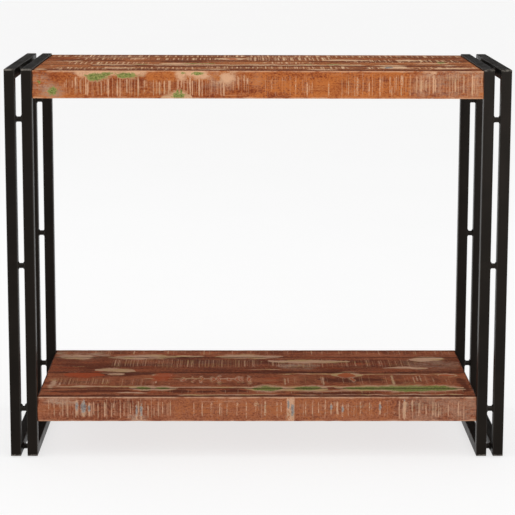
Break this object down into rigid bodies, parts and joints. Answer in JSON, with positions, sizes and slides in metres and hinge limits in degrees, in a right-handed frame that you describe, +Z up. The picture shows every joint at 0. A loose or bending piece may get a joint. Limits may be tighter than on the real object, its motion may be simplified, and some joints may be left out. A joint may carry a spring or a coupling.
{
  "type": "console table",
  "caption": "Narrow console table: a thick reclaimed-plank top and a low shelf held between doubled end frames of square black steel tube.",
  "frame": {"origin": "on the floor, at the middle of the table's footprint", "axes": "+X along the table to the right as seen from the front, +Y from the front to the rear, +Z up"},
  "size_m": [0.95, 0.38, 0.75],
  "materials": {
    "frame_steel": "satin near-black powder coat over mild steel tube, with fine orange peel",
    "top_wood": "satin lacquered reclaimed planks with saw marks and remains of old paint",
    "shelf_wood": "satin lacquered reclaimed planks, darker and redder, with remains of old paint",
    "plain_wood": "plain sawn softwood battens",
    "screw_zinc": "dull zinc-plated steel screws",
    "glide_plastic": "matte black plastic glides"
  },
  "bodies": {
    "root": {"left_outer_front_post": "frame_steel", "left_outer_rear_post": "frame_steel", "left_outer_top_rail": "frame_steel", "left_outer_bottom_rail": "frame_steel", "left_inner_front_post": "frame_steel", "left_inner_rear_post": "frame_steel", "left_inner_top_rail": "frame_steel", "left_inner_bottom_rail": "frame_steel", "right_outer_front_post": "frame_steel", "right_outer_rear_post": "frame_steel", "right_outer_top_rail": "frame_steel", "right_outer_bottom_rail": "frame_steel", "right_inner_front_post": "frame_steel", "right_inner_rear_post": "frame_steel", "right_inner_top_rail": "frame_steel", "right_inner_bottom_rail": "frame_steel", "left_post_spacers": "frame_steel", "left_rail_spacers": "frame_steel", "left_fixing_tabs": "frame_steel", "left_glides": "glide_plastic", "right_post_spacers": "frame_steel", "right_rail_spacers": "frame_steel", "right_fixing_tabs": "frame_steel", "right_glides": "glide_plastic", "top_plank_1": "top_wood", "top_plank_2": "top_wood", "top_plank_3": "top_wood", "top_plank_4": "top_wood", "top_plank_5": "top_wood", "top_front_facing": "top_wood", "top_rear_facing": "top_wood", "top_left_end_board": "top_wood", "top_left_batten": "plain_wood", "top_right_end_board": "top_wood", "top_right_batten": "plain_wood", "top_tab_screws": "screw_zinc", "top_batten_screws": "screw_zinc", "shelf_plank_1": "shelf_wood", "shelf_plank_2": "shelf_wood", "shelf_plank_3": "shelf_wood", "shelf_plank_4": "shelf_wood", "shelf_front_facing": "shelf_wood", "shelf_rear_facing": "shelf_wood", "shelf_left_end_board": "shelf_wood", "shelf_left_batten": "plain_wood", "shelf_right_end_board": "shelf_wood", "shelf_right_batten": "plain_wood", "shelf_tab_screws": "screw_zinc", "shelf_batten_screws": "screw_zinc"}
  },
  "joints": []
}
